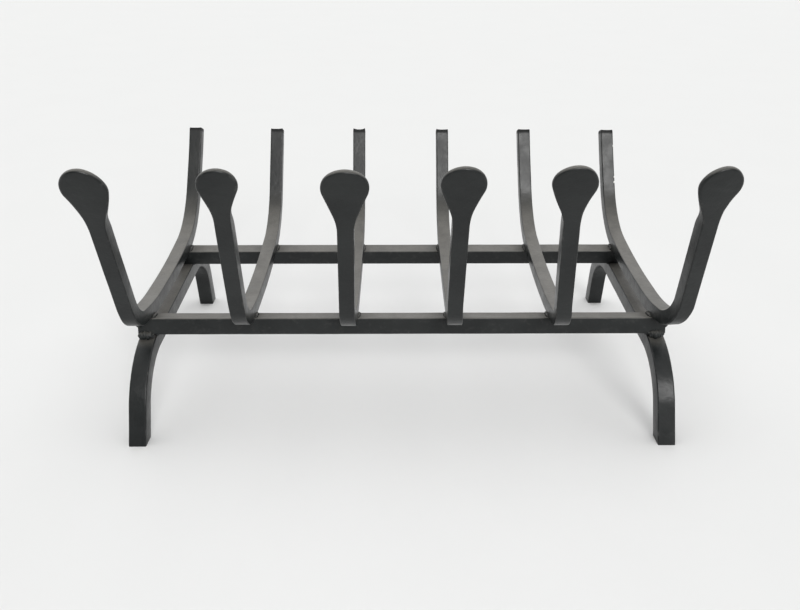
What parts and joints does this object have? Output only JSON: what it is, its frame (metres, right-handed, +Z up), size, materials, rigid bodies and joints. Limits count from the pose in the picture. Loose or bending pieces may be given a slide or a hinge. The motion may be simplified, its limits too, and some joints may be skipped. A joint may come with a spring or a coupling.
{
  "type": "fireplace log grate",
  "caption": "Black welded fireplace grate: upturned square log bars with flattened heads on crossbars and arched legs.",
  "frame": {"origin": "on the hearth, under the middle of the grate's bounding box", "axes": "+X along the crossbars, to the right seen from the room, +Y towards the back of the fireplace, +Z up"},
  "size_m": [0.7348, 0.4976, 0.3861],
  "materials": {
    "bar_paint": "satin black heat-resistant paint over square steel bar",
    "weld_paint": "satin black paint over rough weld metal"
  },
  "bodies": {
    "root": {"front_crossbar": "bar_paint", "rear_crossbar": "bar_paint", "left_leg_bar": "bar_paint", "right_leg_bar": "bar_paint", "log_bar_1": "bar_paint", "log_bar_2": "bar_paint", "log_bar_3": "bar_paint", "log_bar_4": "bar_paint", "log_bar_5": "bar_paint", "log_bar_6": "bar_paint", "weld_log_bar_1_front_left": "weld_paint", "weld_log_bar_1_front_right": "weld_paint", "weld_log_bar_1_rear_left": "weld_paint", "weld_log_bar_1_rear_right": "weld_paint", "weld_log_bar_2_front_left": "weld_paint", "weld_log_bar_2_front_right": "weld_paint", "weld_log_bar_2_rear_left": "weld_paint", "weld_log_bar_2_rear_right": "weld_paint", "weld_log_bar_3_front_left": "weld_paint", "weld_log_bar_3_front_right": "weld_paint", "weld_log_bar_3_rear_left": "weld_paint", "weld_log_bar_3_rear_right": "weld_paint", "weld_log_bar_4_front_left": "weld_paint", "weld_log_bar_4_front_right": "weld_paint", "weld_log_bar_4_rear_left": "weld_paint", "weld_log_bar_4_rear_right": "weld_paint", "weld_log_bar_5_front_left": "weld_paint", "weld_log_bar_5_front_right": "weld_paint", "weld_log_bar_5_rear_left": "weld_paint", "weld_log_bar_5_rear_right": "weld_paint", "weld_log_bar_6_front_left": "weld_paint", "weld_log_bar_6_front_right": "weld_paint", "weld_log_bar_6_rear_left": "weld_paint", "weld_log_bar_6_rear_right": "weld_paint", "weld_left_leg_front_inner": "weld_paint", "weld_left_leg_front_outer": "weld_paint", "weld_left_leg_rear_inner": "weld_paint", "weld_left_leg_rear_outer": "weld_paint", "weld_right_leg_front_inner": "weld_paint", "weld_right_leg_front_outer": "weld_paint", "weld_right_leg_rear_inner": "weld_paint", "weld_right_leg_rear_outer": "weld_paint"}
  },
  "joints": []
}
